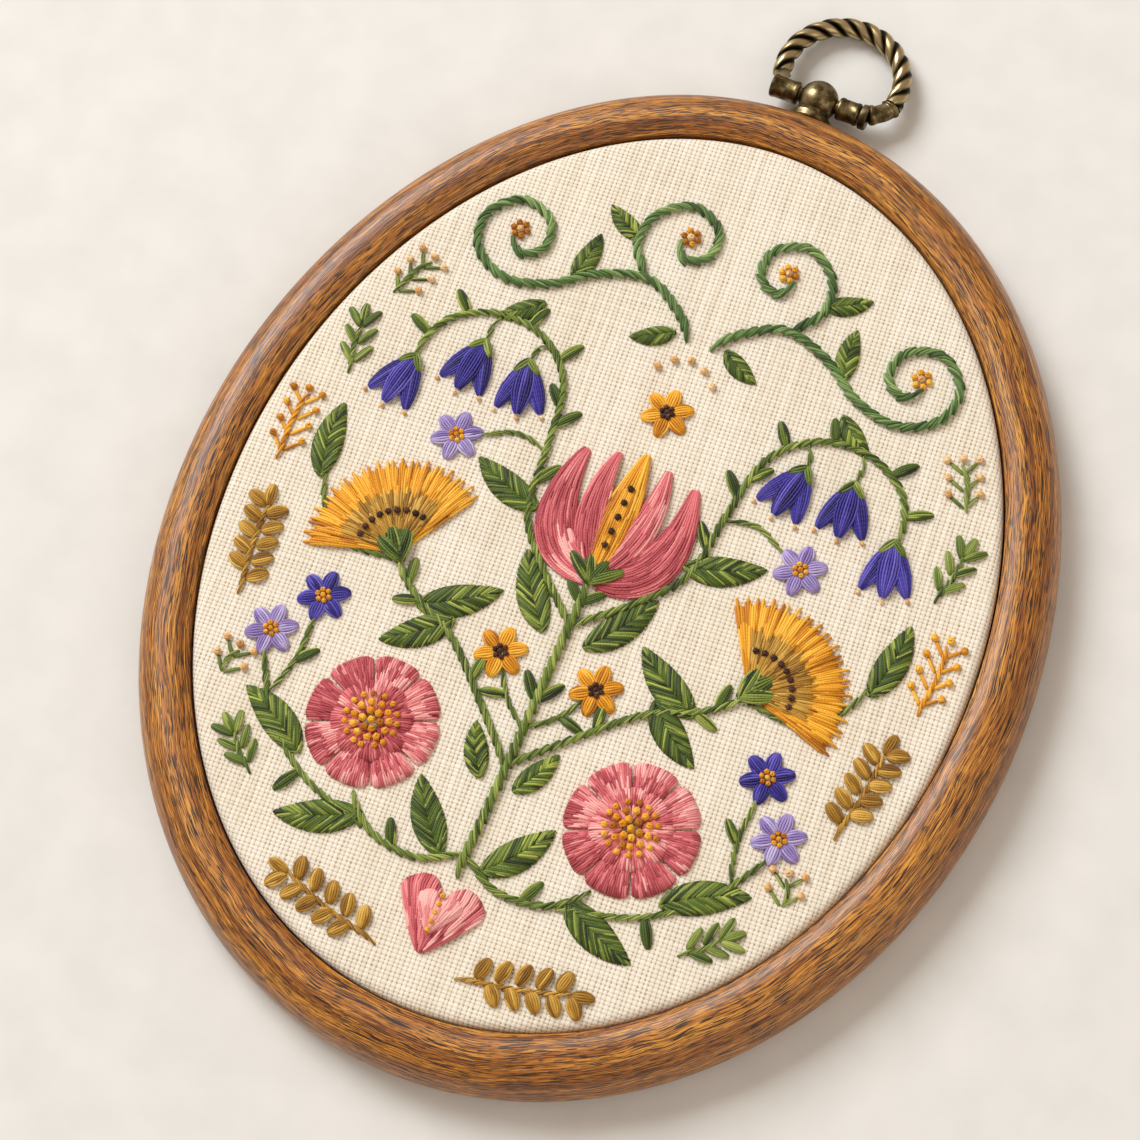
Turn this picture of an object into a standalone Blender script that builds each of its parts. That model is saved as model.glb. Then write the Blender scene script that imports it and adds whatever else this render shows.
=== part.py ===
"""Embroidered linen stretched in an oval wooden hoop, with a twisted brass hanging ring.

Metres, +Z up. The hoop lies on its flat back with the stitched side up, and +Y runs
along the oval's long side to the ring. All of it hangs on one empty at the oval's middle.
"""
from math import atan2, ceil, cos, hypot, pi, radians, sin, sqrt

import bmesh
import bpy
from mathutils import Matrix, Vector

MM = 0.001
GAP = 0.3 * MM                   # clearance between pieces that touch

# the oval, along the middle of the wooden section
OVAL_HALF_WIDTH = 80 * MM
OVAL_HALF_LENGTH = 98 * MM
OVAL_LOPSIDED = 0.006            # the bent ring strays this share from a true ellipse
OVAL_STEPS = 88

# the outer hoop's section, from the oval line outwards and up from its flat back
HOOP_OUTWARD = 7.0 * MM
HOOP_INWARD = 4.3 * MM
HOOP_HEIGHT = 12.5 * MM
HOOP_WIDEST = 3.2 * MM           # level at which the section is widest
HOOP_FULLNESS = 2.3              # 2 is an ellipse, more is squarer
HOOP_BACK_ROUND = 2.0 * MM
HOOP_ARC_STEPS = 8

# the linen, pulled over the inner hoop and trimmed at its back
CLOTH_LEVEL = 11.2 * MM
CLOTH_THICKNESS = 1.0 * MM
CLOTH_ROLL = 2.0 * MM            # radius of its rounded edge
CLOTH_FOOT = 1.2 * MM            # height of its trimmed rim above the back

# the inner hoop
INNER_WIDTH = 5.5 * MM
INNER_FOOT = 0.8 * MM
INNER_ROUND = 0.7 * MM

# the hanger at the end of the oval
HANGER_LEVEL = 4.8 * MM
BALL_RADIUS = 4.15 * MM
BALL_PAST_HOOP = 5.0 * MM        # its middle, past the hoop's edge
NECK_RADIUS = 1.5 * MM
COLLAR_RIM_RADIUS = 4.7 * MM
COLLAR_CUP_RADIUS = 3.6 * MM     # its edge round the ball
COLLAR_CUP_START = 3.2 * MM      # from the ball's middle to that edge
COLLAR_FLARE = 1.45 * MM         # from that edge to its rim
COLLAR_OVERLAP = 1.6 * MM        # how far it reaches back over the hoop's rounded side
BARREL_RADIUS = 2.4 * MM
BARREL_START = 4.5 * MM          # from the ball's middle
LEFT_BARREL_END = 10.3 * MM
RIGHT_BARREL_END = 9.0 * MM
CAP_RADIUS = 2.6 * MM
CAP_END = 10.9 * MM
RIM_ROUND = 0.4 * MM
TURNED_STEPS = 20                # sides of a turned brass piece

# the hanging ring, a twisted rope of three strands bent into most of a circle
RING_RADIUS = 12.4 * MM          # along the middle of the rope
ROPE_RADIUS = 2.0 * MM
ROPE_GROOVE = 0.17               # depth of the twist, as a share of the radius
ROPE_STRANDS = 3
ROPE_PITCH = 11.4 * MM           # length of one full turn of a strand
ROPE_STEPS_PER_PITCH = 12
RING_MIDDLE_X = 2.3 * MM         # the ring leans to the right of the ball
RING_MIDDLE_PAST_BALL = 7.3 * MM
RING_FAR_LEVEL = 2.4 * MM        # middle of the rope at the far end, which droops
RING_START = -15.0               # degrees from +X, where the ferrule ends
RING_END = 198.5                 # degrees, just clear of the left barrel
FERRULE_RADIUS = 2.15 * MM
FERRULE_FOOT_X = 11.6 * MM       # the sleeve's foot, just clear of the end cap's rim
FERRULE_FOOT_PAST_BALL = 1.6 * MM
FERRULE_KNEE = 1.6 * MM          # how far before its end the sleeve bends into the ring
FERRULE_STEPS = 4
ROPE_CLEARANCE = 0.5 * MM        # between the sleeve's slanted end and the rope

# raised embroidery: low pads of thread, standing this high above the linen
PAD_HEIGHT = 0.9 * MM
PAD_ROOT = 0.5 * MM              # depth to which a pad is sunk in the linen
PAD_PROFILE = ((1.0, -PAD_ROOT), (1.0, 0.45 * PAD_HEIGHT), (0.72, 0.9 * PAD_HEIGHT))

# one row for each stitched form: shape, across, along, size across, size along, turn, mirrored
# millimetres from the oval's middle, and degrees anticlockwise from upright
STITCHED = (
    ("tulip", 0, 9, 14.8, 14.4, 0, False),
    ("heart", 0, -74, 8.4, 8.0, 0, False),
    ("rosette", 27, -46, 13.0, 13.0, 0, True),
    ("fan", 37, -13.1, 19.0, 19.0, -38, True),
    ("bell", 28.5, 27, 7.0, 6.0, -12, True),
    ("bell", 40, 27.5, 7.0, 6.0, 6, True),
    ("bell", 52, 19.5, 7.0, 6.0, 10, True),
    ("daisy", 0, 33, 5.2, 5.2, 0, False),
    ("daisy", 10, -24, 5.2, 5.2, 0, True),
    ("daisy", 53, -37, 5.2, 5.2, 0, True),
    ("daisy", 46.5, -27, 5.2, 5.2, 0, True),
    ("daisy", 36.5, 13, 5.2, 5.2, 0, True),
    ("leaf", 9, -58, 3.1, 8.0, -38, True),
    ("leaf", 9, -10, 3.1, 8.5, -34, True),
    ("leaf", 22, -17, 3.2, 8.5, 58, True),
    ("leaf", 27, -26, 3.0, 7.5, -128, True),
    ("leaf", 45, -53, 3.2, 8.5, -62, True),
    ("leaf", 29, -66, 3.2, 8.5, -112, True),
    ("leaf", 23, 8, 3.0, 8.0, -70, True),
    ("leaf", 59, 3, 3.0, 8.0, -8, True),
    ("leaf", 6, -43, 2.3, 5.5, -28, True),
    ("leaf", 28.5, 58, 2.2, 5.5, 8, True),
    ("leaf", 36, 42.5, 2.0, 5.0, -128, True),
    ("leaf", 9.5, 47.5, 1.9, 4.5, -118, True),
    ("leaf", 24, 68, 2.0, 4.8, -62, True),
)

# right half of the tulip's outline from its foot to its middle point, as shares of its size
TULIP_OUTLINE = ((0.0, -0.92), (0.40, -0.88), (0.74, -0.73), (0.97, -0.46), (1.0, -0.12), (0.95, 0.30),
                 (0.79, 0.80), (0.61, 0.36), (0.51, 0.42), (0.36, 0.90), (0.20, 0.56), (0.0, 1.0))


def clear_scene():
    for item in list(bpy.data.objects):
        bpy.data.objects.remove(item, do_unlink=True)


def new_collection(name):
    group = bpy.data.collections.new(name)
    bpy.context.scene.collection.children.link(group)
    return group


def new_material(name, color, roughness, metallic=0.0):
    material = bpy.data.materials.new(name)
    material.use_nodes = True
    shader = material.node_tree.nodes["Principled BSDF"]
    shader.inputs["Base Color"].default_value = (*color, 1.0)
    shader.inputs["Roughness"].default_value = roughness
    shader.inputs["Metallic"].default_value = metallic
    material.diffuse_color = (*color, 1.0)
    return material


def add_object(name, data, group, parent, material=None):
    item = bpy.data.objects.new(name, data)
    group.objects.link(item)
    item.parent = parent
    if material:
        data.materials.append(material)
    return item


def hide_guide(item):
    item.hide_render = True
    item.display_type = "WIRE"
    return item


def oval_point(turn, outward=0.0):
    """A point beside the oval line, so far outwards from it; turn is in radians from +X."""
    swell = 1 - OVAL_LOPSIDED * sin(3 * turn)
    change = -3 * OVAL_LOPSIDED * cos(3 * turn)
    x = OVAL_HALF_WIDTH * swell * cos(turn)
    y = OVAL_HALF_LENGTH * swell * sin(turn)
    along_x = OVAL_HALF_WIDTH * (change * cos(turn) - swell * sin(turn))
    along_y = OVAL_HALF_LENGTH * (change * sin(turn) + swell * cos(turn))
    size = hypot(along_x, along_y)
    return x + outward * along_y / size, y - outward * along_x / size


HOOP_TOP_EDGE = oval_point(pi / 2)[1] + HOOP_OUTWARD
HOOP_BOTTOM_EDGE = oval_point(-pi / 2)[1] - HOOP_OUTWARD
BALL_Y = HOOP_TOP_EDGE + BALL_PAST_HOOP
RING_MIDDLE_Y = BALL_Y + RING_MIDDLE_PAST_BALL
RING_FAR_EDGE = RING_MIDDLE_Y + RING_RADIUS + ROPE_RADIUS
OVAL_MIDDLE_Y = -(RING_FAR_EDGE + HOOP_BOTTOM_EDGE) / 2


def poly_curve(name, points, closed, twist="MINIMUM"):
    curve = bpy.data.curves.new(name, "CURVE")
    curve.dimensions = "3D"
    curve.twist_mode = twist
    spline = curve.splines.new("POLY")
    spline.points.add(len(points) - 1)
    for spot, point in zip(spline.points, points):
        spot.co = (*point, 1.0)
    spline.use_cyclic_u = closed
    spline.use_smooth = True
    return curve


def section_curve(name, outline, guides):
    """A closed flat outline, for a curve's bevel; points are (outward, up) pairs."""
    curve = poly_curve(name, [(out, up, 0.0) for out, up in outline[::-1]], closed=True)
    curve.dimensions = "2D"
    curve.fill_mode = "NONE"
    return hide_guide(add_object(name, curve, guides, None))


def hoop_outline(margin=0.0):
    """The outer hoop's section: flat back, rounded outer side and top, straight inner wall."""
    out, inward = HOOP_OUTWARD + margin, HOOP_INWARD + margin
    rise = HOOP_HEIGHT + margin - HOOP_WIDEST
    power = 2 / HOOP_FULLNESS
    last = pi - acos_of_share((inward / out) ** (1 / power))
    outline = [(out - HOOP_BACK_ROUND, -margin)]
    bend = radians(45)
    outline.append((out - HOOP_BACK_ROUND * (1 - sin(bend)), HOOP_WIDEST * (1 - cos(bend)) - margin))
    for step in range(HOOP_ARC_STEPS + 1):
        angle = last * step / HOOP_ARC_STEPS
        side = 1 if cos(angle) >= 0 else -1
        across = side * out * abs(cos(angle)) ** power
        outline.append((across, HOOP_WIDEST + rise * sin(angle) ** power))
    outline.append((-inward, RIM_ROUND - margin))
    outline.append((-inward + RIM_ROUND, -margin))
    return outline


def acos_of_share(share):
    return atan2(sqrt(1 - share * share), share)


def inner_outline():
    """The inner hoop's section, rounded where the cloth turns over it."""
    outer = -(HOOP_INWARD + GAP + CLOTH_THICKNESS + GAP)
    inner = outer - INNER_WIDTH
    top = CLOTH_LEVEL - CLOTH_THICKNESS - GAP
    outline = [(outer, INNER_FOOT)]
    for middle, start in ((outer - INNER_ROUND, 0), (inner + INNER_ROUND, 90)):
        for step in range(3):
            angle = radians(start + 45 * step)
            outline.append((middle + INNER_ROUND * cos(angle), top - INNER_ROUND + INNER_ROUND * sin(angle)))
    outline.append((inner, INNER_FOOT))
    return outline


def oval_ring(name, outline, group, guides, parent, material):
    """Sweeps a section round the oval."""
    points = []
    for step in range(OVAL_STEPS):
        points.append((*oval_point(2 * pi * step / OVAL_STEPS), 0.0))
    curve = poly_curve(name, points, closed=True, twist="Z_UP")
    curve.bevel_mode = "OBJECT"
    curve.bevel_object = section_curve(name + "_section", outline, guides)
    return add_object(name, curve, group, parent, material)


def curve_to_mesh(item):
    """Makes a curve object a mesh object with the same name and place, its seams welded."""
    name, group, parent = item.name, item.users_collection[0], item.parent
    place, material = item.matrix_world.copy(), item.data.materials[0]
    shape = item.evaluated_get(bpy.context.evaluated_depsgraph_get())
    mesh = bpy.data.meshes.new_from_object(shape)
    bpy.data.objects.remove(item)
    work = bmesh.new()
    work.from_mesh(mesh)
    bmesh.ops.remove_doubles(work, verts=work.verts, dist=0.01 * MM)
    bmesh.ops.recalc_face_normals(work, faces=work.faces)
    work.to_mesh(mesh)
    work.free()
    mesh.materials.clear()
    solid = add_object(name, mesh, group, parent, material)
    solid.matrix_world = place
    return solid


def smooth(mesh, angle=40):
    mesh.shade_smooth()
    mesh.set_sharp_from_angle(angle=radians(angle))


def linen_sheet(group, parent, material):
    """The stretched cloth: flat top, rounded edge and rim turned down between the hoops."""
    rim = -(HOOP_INWARD + GAP)
    roll_middle, roll_level = rim - CLOTH_ROLL, CLOTH_LEVEL - CLOTH_ROLL
    rings = []
    for angle in (90, 60, 30, 0):
        bend = radians(angle)
        rings.append((roll_middle + CLOTH_ROLL * cos(bend), roll_level + CLOTH_ROLL * sin(bend)))
    rings.append((rim, CLOTH_FOOT))

    work = bmesh.new()
    turn_layer = work.verts.layers.float.new("turn")
    circle = bmesh.ops.create_circle(work, cap_ends=True, segments=OVAL_STEPS, radius=1.0)
    for vert in circle["verts"]:
        vert[turn_layer] = atan2(vert.co.y, vert.co.x)
    edges = list(work.edges)
    loop = list(work.verts)
    for count, (outward, level) in enumerate(rings):
        if count:
            grown = bmesh.ops.extrude_edge_only(work, edges=edges)["geom"]
            loop = [part for part in grown if isinstance(part, bmesh.types.BMVert)]
            edges = [part for part in grown if isinstance(part, bmesh.types.BMEdge)]
        for vert in loop:
            vert.co = (*oval_point(vert[turn_layer], outward), level)
    bmesh.ops.recalc_face_normals(work, faces=work.faces)
    if max(work.faces, key=lambda face: face.calc_area()).normal.z < 0:
        bmesh.ops.reverse_faces(work, faces=work.faces)
    mesh = bpy.data.meshes.new("linen")
    work.to_mesh(mesh)
    work.free()
    sheet = add_object("linen", mesh, group, parent, material)
    shell = sheet.modifiers.new("thickness", "SOLIDIFY")
    shell.thickness = CLOTH_THICKNESS
    shell.offset = -1
    shell.use_even_offset = True
    return sheet


def rosette_edge(angle):
    reach = 0.83 + 0.17 * abs(cos(4 * angle)) ** 0.7
    return reach * cos(angle), reach * sin(angle)


def daisy_edge(angle):
    reach = 0.72 + 0.28 * cos(6 * (angle - pi / 2))
    return reach * cos(angle), reach * sin(angle)


def leaf_edge(angle):
    return sin(angle) * abs(sin(angle)) ** 0.5, cos(angle)


def bell_edge(angle):
    """Narrow at the stalk and wide at the mouth, which points down the page."""
    return sin(angle) * (0.72 - 0.28 * cos(angle)), cos(angle) * (1 - 0.12 * abs(sin(3 * angle)))


def tulip_edge(angle):
    """A round cup with five points, the middle one highest."""
    half = len(TULIP_OUTLINE) - 1
    step = round(angle * half / pi)
    across, along = TULIP_OUTLINE[half - abs(half - step)]
    return (across if step <= half else -across), along


def fan_edge(angle):
    """A spread fan round its foot, with a small cup behind the foot."""
    lean = angle - pi / 2
    lean = atan2(sin(lean), cos(lean))
    reach = 1.0 if abs(lean) < radians(70) else 0.16
    return reach * cos(angle), reach * sin(angle)


def heart_edge(angle):
    across = sin(angle) ** 3
    along = (13 * cos(angle) - 5 * cos(2 * angle) - 2 * cos(3 * angle) - cos(4 * angle)) / 16
    return across, along


EDGES = {"rosette": (rosette_edge, 32), "daisy": (daisy_edge, 24), "leaf": (leaf_edge, 14),
         "bell": (bell_edge, 14), "tulip": (tulip_edge, 2 * len(TULIP_OUTLINE) - 2), "fan": (fan_edge, 32),
         "heart": (heart_edge, 24)}


def add_pad(work, shape, x, y, across, along, turn, side):
    """One low dome of thread; side is -1 for its mirrored twin."""
    edge, steps = EDGES[shape]
    spin = Matrix.Rotation(radians(turn), 3, "Z")
    loops = []
    for share, lift in PAD_PROFILE:
        loop = []
        for step in range(steps):
            across_share, along_share = edge(2 * pi * step / steps)
            spot = spin @ Vector((across_share * across * share, along_share * along * share, 0))
            place = ((x + spot.x) * side * MM, (y + spot.y) * MM, CLOTH_LEVEL + lift)
            loop.append(work.verts.new(place))
        loops.append(loop)
    middle = work.verts.new((x * side * MM, y * MM, CLOTH_LEVEL + PAD_HEIGHT))
    for lower, upper in zip(loops, loops[1:]):
        for step in range(steps):
            after = (step + 1) % steps
            work.faces.new((lower[step], lower[after], upper[after], upper[step]))
    for step in range(steps):
        work.faces.new((loops[-1][step], loops[-1][(step + 1) % steps], middle))
    work.faces.new(loops[0][::-1])


def stitched_pads(guides, parent):
    """All the raised forms in one guide mesh, which the linen takes in."""
    work = bmesh.new()
    for shape, x, y, across, along, turn, mirrored in STITCHED:
        for side in ((1, -1) if mirrored else (1,)):
            add_pad(work, shape, x, y, across, along, turn, side)
    bmesh.ops.recalc_face_normals(work, faces=work.faces)
    mesh = bpy.data.meshes.new("stitched_pads")
    work.to_mesh(mesh)
    work.free()
    return hide_guide(add_object("stitched_pads", mesh, guides, parent))


def join_solid(item, other, operation):
    cut = item.modifiers.new(other.name, "BOOLEAN")
    cut.operation = operation
    cut.solver = "EXACT"
    cut.object = other


def turned(name, profile, group, parent, material, place, axis):
    """A profile of (radius, height) from top to bottom, turned about Z and laid along axis."""
    mesh = bpy.data.meshes.new(name)
    corners = [(radius, 0.0, height) for radius, height in profile]
    mesh.from_pydata(corners, [(k, k + 1) for k in range(len(corners) - 1)], [])
    item = add_object(name, mesh, group, parent, material)
    item.location = place
    item.rotation_euler = Vector(axis).to_track_quat("Z", "Y").to_euler()
    spin = item.modifiers.new("turned", "SCREW")
    spin.steps = TURNED_STEPS
    spin.render_steps = TURNED_STEPS
    spin.use_merge_vertices = True
    spin.merge_threshold = 0.00001
    spin.use_smooth_shade = True
    return item


def barrel(name, radius, start, end, group, parent, material):
    """A short round bar along X with eased rims, from start to end of the cross bar."""
    half = abs(end - start) / 2
    profile = ((0, half), (radius - RIM_ROUND, half), (radius, half - RIM_ROUND),
               (radius, RIM_ROUND - half), (radius - RIM_ROUND, -half), (0, -half))
    place = ((start + end) / 2, BALL_Y, HANGER_LEVEL)
    return turned(name, profile, group, parent, material, place, (1, 0, 0))


def ball_knuckle(group, guides, parent, material):
    """The ball with the thin neck of the cross bar through it."""
    mesh = bpy.data.meshes.new("ball_knuckle")
    work = bmesh.new()
    bmesh.ops.create_uvsphere(work, u_segments=TURNED_STEPS, v_segments=12, radius=BALL_RADIUS)
    work.to_mesh(mesh)
    work.free()
    ball = add_object("ball_knuckle", mesh, group, parent, material)
    ball.location = (0, BALL_Y, HANGER_LEVEL)

    mesh = bpy.data.meshes.new("neck")
    work = bmesh.new()
    lay = Matrix.Rotation(radians(90), 4, "Y")
    bmesh.ops.create_cone(work, cap_ends=True, segments=12, radius1=NECK_RADIUS, radius2=NECK_RADIUS,
                          depth=2 * (BARREL_START - GAP), matrix=lay)
    work.to_mesh(mesh)
    work.free()
    neck = hide_guide(add_object("neck", mesh, guides, parent))
    neck.location = ball.location
    join_solid(ball, neck, "UNION")
    return ball


def collar(group, guides, parent, material):
    """A flared collar, hollowed round the ball and cut to follow the hoop's rounded side."""
    top = BALL_Y - COLLAR_CUP_START
    length = top - (HOOP_TOP_EDGE - COLLAR_OVERLAP)
    spread = COLLAR_RIM_RADIUS - COLLAR_CUP_RADIUS
    profile = ((0, 0), (COLLAR_CUP_RADIUS, 0), (COLLAR_CUP_RADIUS + 0.14 * spread, -0.35 * COLLAR_FLARE),
               (COLLAR_CUP_RADIUS + 0.45 * spread, -0.7 * COLLAR_FLARE), (COLLAR_RIM_RADIUS, -COLLAR_FLARE),
               (COLLAR_RIM_RADIUS, -length), (0, -length))
    item = turned("collar", profile, group, parent, material, (0, top, HANGER_LEVEL), (0, 1, 0))
    clearance = oval_ring("hoop_clearance", hoop_outline(GAP), guides, guides, parent, material)
    bpy.context.view_layer.update()
    join_solid(item, hide_guide(curve_to_mesh(clearance)), "DIFFERENCE")

    mesh = bpy.data.meshes.new("ball_clearance")
    work = bmesh.new()
    bmesh.ops.create_uvsphere(work, u_segments=TURNED_STEPS, v_segments=12, radius=BALL_RADIUS + GAP)
    work.to_mesh(mesh)
    work.free()
    hollow = hide_guide(add_object("ball_clearance", mesh, guides, parent))
    hollow.location = (0, BALL_Y, HANGER_LEVEL)
    join_solid(item, hollow, "DIFFERENCE")
    return item


def ring_level(y):
    """Level of the rope's middle; the ring tilts down from the cross bar to its far end."""
    fall = (HANGER_LEVEL - RING_FAR_LEVEL) / (RING_MIDDLE_Y + RING_RADIUS - BALL_Y)
    return HANGER_LEVEL - fall * (y - BALL_Y)


def ring_point(angle):
    turn = radians(angle)
    y = RING_MIDDLE_Y + RING_RADIUS * sin(turn)
    return Vector((RING_MIDDLE_X + RING_RADIUS * cos(turn), y, ring_level(y)))


def rope_outline():
    """A round section with one shallow groove between each two strands."""
    outline = []
    steps = 4 * ROPE_STRANDS
    for step in range(steps):
        angle = 2 * pi * step / steps
        reach = ROPE_RADIUS * (1 - ROPE_GROOVE * (1 - abs(cos(ROPE_STRANDS * angle / 2))))
        outline.append((reach * cos(angle), reach * sin(angle)))
    return outline


def hanging_ring(group, guides, parent, material):
    start = RING_START + ROPE_CLEARANCE / RING_RADIUS * 180 / pi
    length = radians(RING_END - start) * RING_RADIUS
    steps = ceil(length / ROPE_PITCH * ROPE_STEPS_PER_PITCH)
    points = [ring_point(start + (RING_END - start) * step / steps) for step in range(steps + 1)]
    curve = poly_curve("hanging_ring", points, closed=False)
    for step, spot in enumerate(curve.splines[0].points):
        spot.tilt = 2 * pi * step * length / steps / ROPE_PITCH
    curve.bevel_mode = "OBJECT"
    curve.bevel_object = section_curve("rope_section", rope_outline(), guides)
    curve.use_fill_caps = True
    return add_object("hanging_ring", curve, group, parent, material)


def ferrule(group, parent, material):
    """The plain bent sleeve between the end cap and the rope."""
    foot_y = BALL_Y + FERRULE_FOOT_PAST_BALL
    foot = Vector((FERRULE_FOOT_X, foot_y, ring_level(foot_y)))
    end = ring_point(RING_START)
    along = Vector((-sin(radians(RING_START)), cos(radians(RING_START)), 0))
    knee = end - along * FERRULE_KNEE
    points = []
    for step in range(FERRULE_STEPS + 1):
        share = step / FERRULE_STEPS
        points.append(foot * (1 - share) ** 2 + knee * 2 * share * (1 - share) + end * share ** 2)
    curve = poly_curve("ferrule", points, closed=False)
    curve.bevel_depth = FERRULE_RADIUS
    curve.bevel_resolution = 4
    curve.use_fill_caps = True
    return add_object("ferrule", curve, group, parent, material)


def build():
    clear_scene()
    group = new_collection("embroidery_hoop")
    guides = new_collection("cutters_and_guides")
    middle = bpy.data.objects.new("oval_middle", None)
    middle.location = (0, OVAL_MIDDLE_Y, 0)
    group.objects.link(middle)
    bpy.context.view_layer.update()

    oak = new_material("brown oak", (0.43, 0.16, 0.026), 0.42)
    beech = new_material("pale inner hoop wood", (0.62, 0.45, 0.27), 0.55)
    cloth = new_material("cream linen", (0.86, 0.77, 0.62), 0.9)
    brass = new_material("antique brass", (0.32, 0.24, 0.13), 0.34, 1.0)

    oval_ring("outer_hoop", hoop_outline(), group, guides, middle, oak)
    oval_ring("inner_hoop", inner_outline(), group, guides, middle, beech)
    sheet = linen_sheet(group, middle, cloth)
    join_solid(sheet, stitched_pads(guides, middle), "UNION")

    collar(group, guides, middle, brass)
    ball_knuckle(group, guides, middle, brass)
    barrel("left_barrel", BARREL_RADIUS, -LEFT_BARREL_END, -BARREL_START, group, middle, brass)
    barrel("right_barrel", BARREL_RADIUS, BARREL_START, RIGHT_BARREL_END, group, middle, brass)
    barrel("end_cap", CAP_RADIUS, RIGHT_BARREL_END + GAP, CAP_END, group, middle, brass)
    ferrule(group, middle, brass)
    hanging_ring(group, guides, middle, brass)

    for item in group.objects:
        if item.type == "MESH":
            smooth(item.data)


build()
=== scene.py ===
# Embroidered linen in an oval oak hoop with a twisted brass hanging ring.
import random
from functools import partial
from math import acos, atan2, ceil, cos, degrees, hypot, pi, radians, sin, sqrt

import bmesh
import bpy
from mathutils import Matrix, Vector, noise


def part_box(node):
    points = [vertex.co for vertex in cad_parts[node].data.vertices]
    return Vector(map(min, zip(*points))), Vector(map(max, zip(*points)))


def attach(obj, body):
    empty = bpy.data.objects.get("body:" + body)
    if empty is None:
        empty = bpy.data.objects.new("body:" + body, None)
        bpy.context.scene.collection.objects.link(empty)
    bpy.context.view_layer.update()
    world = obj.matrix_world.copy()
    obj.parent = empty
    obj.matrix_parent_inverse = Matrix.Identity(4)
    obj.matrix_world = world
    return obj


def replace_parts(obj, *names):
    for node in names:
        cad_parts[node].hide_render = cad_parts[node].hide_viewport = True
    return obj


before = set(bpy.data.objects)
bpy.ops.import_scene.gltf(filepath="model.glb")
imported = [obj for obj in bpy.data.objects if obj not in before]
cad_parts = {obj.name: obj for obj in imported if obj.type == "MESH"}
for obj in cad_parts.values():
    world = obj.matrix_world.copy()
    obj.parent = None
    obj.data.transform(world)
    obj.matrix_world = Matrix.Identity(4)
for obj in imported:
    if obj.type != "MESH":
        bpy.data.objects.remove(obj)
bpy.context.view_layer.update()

mm = 0.001
random.seed(28)


# Helpers for colours, nodes and meshes


def srgb(hexColour):  # sRGB hex to linear colour
    parts = [int(hexColour[k:k + 2], 16) / 255 for k in (1, 3, 5)]
    return tuple(p / 12.92 if p <= 0.04045 else ((p + 0.055) / 1.055) ** 2.4 for p in parts) + (1.0,)


def setSockets(node, links):  # a dictionary, or a list for the first sockets, of numbers, nodes or sockets
    for key, value in links.items() if isinstance(links, dict) else enumerate(links):
        if isinstance(value, bpy.types.Node):
            value = value.outputs[0]
        if isinstance(value, bpy.types.NodeSocket):
            node.id_data.links.new(value, node.inputs[key])
        else:
            node.inputs[key].default_value = value


def addNode(tree, kind, links=(), operation=None, stops=(), **settings):  # stops are for a colour ramp
    node = tree.nodes.new("ShaderNode" + kind)
    if operation:
        node.operation = operation
    for key, value in settings.items():
        setattr(node, key, value)
    if stops:
        ramp = node.color_ramp.elements
        while len(ramp) < len(stops):
            ramp.new(0.5)
        for stop, (place, hexColour) in zip(ramp, stops):
            stop.position, stop.color = place, srgb(hexColour)
    setSockets(node, links)
    return node


def newMaterial(name):  # returns the material, its Principled shader and a function that adds a node to it
    material = bpy.data.materials.new(name)
    material.use_nodes = True
    tree = material.node_tree
    return material, tree.nodes["Principled BSDF"], partial(addNode, tree)


def addPiece(name, mesh, material, slotName=None, sharpAngle=40):
    piece = bpy.data.objects.new(name, mesh)
    bpy.context.scene.collection.objects.link(piece)
    mesh.materials.clear()
    mesh.materials.append(material)
    mesh.shade_smooth()
    mesh.set_sharp_from_angle(angle=radians(sharpAngle))
    if slotName:
        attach(piece, "root")
    return piece


def meshFrom(work, name):
    mesh = bpy.data.meshes.new(name)
    work.to_mesh(mesh)
    work.free()
    return mesh


def polyCurve(name, lines, closed=False, twist="MINIMUM"):  # each line is a list of points in metres
    curve = bpy.data.curves.new(name, "CURVE")
    curve.dimensions = "3D"
    curve.twist_mode = twist
    for line in lines:
        spline = curve.splines.new("POLY")
        spline.points.add(len(line) - 1)
        spline.points.foreach_set("co", [value for point in line for value in (*point, 1.0)])
        spline.use_cyclic_u = closed
        spline.use_smooth = True
    return curve


def curveMesh(curve, outline=None, weld=0.004):  # outline is a closed section of (outward, up) pairs in mm
    thread = bpy.data.objects.new(curve.name, curve)
    bpy.context.scene.collection.objects.link(thread)
    section = None
    if outline:
        flat = polyCurve("section", [[(out * mm, up * mm, 0) for out, up in outline[::-1]]], closed=True)
        flat.dimensions = "2D"
        flat.fill_mode = "NONE"
        section = bpy.data.objects.new("section", flat)
        bpy.context.scene.collection.objects.link(section)
        curve.bevel_mode = "OBJECT"
        curve.bevel_object = section
    mesh = bpy.data.meshes.new_from_object(thread.evaluated_get(bpy.context.evaluated_depsgraph_get()))
    for helper in (thread, section):
        if helper:
            bpy.data.objects.remove(helper)
    if weld:
        work = bmesh.new()
        work.from_mesh(mesh)
        bmesh.ops.remove_doubles(work, verts=work.verts, dist=weld * mm)
        bmesh.ops.recalc_face_normals(work, faces=work.faces)
        work.to_mesh(mesh)
        work.free()
    return mesh


# The oval, as in the CAD; sizes in mm, from the oval's own middle

oval = {"halfWidth": 80, "halfLength": 98, "lopsided": 0.006, "outward": 7.0, "inward": 4.3}
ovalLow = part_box("outer_hoop")[0].y / mm
ovalMiddleY = ovalLow + oval["halfLength"] * (1 - oval["lopsided"]) + oval["outward"]


def ovalPoint(turn, outward=0.0):
    swell = 1 - oval["lopsided"] * sin(3 * turn)
    change = -3 * oval["lopsided"] * cos(3 * turn)
    x = oval["halfWidth"] * swell * cos(turn)
    y = oval["halfLength"] * swell * sin(turn)
    alongX = oval["halfWidth"] * (change * cos(turn) - swell * sin(turn))
    alongY = oval["halfLength"] * (change * sin(turn) + swell * cos(turn))
    size = hypot(alongX, alongY)
    return x + outward * alongY / size, y - outward * alongX / size


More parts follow.
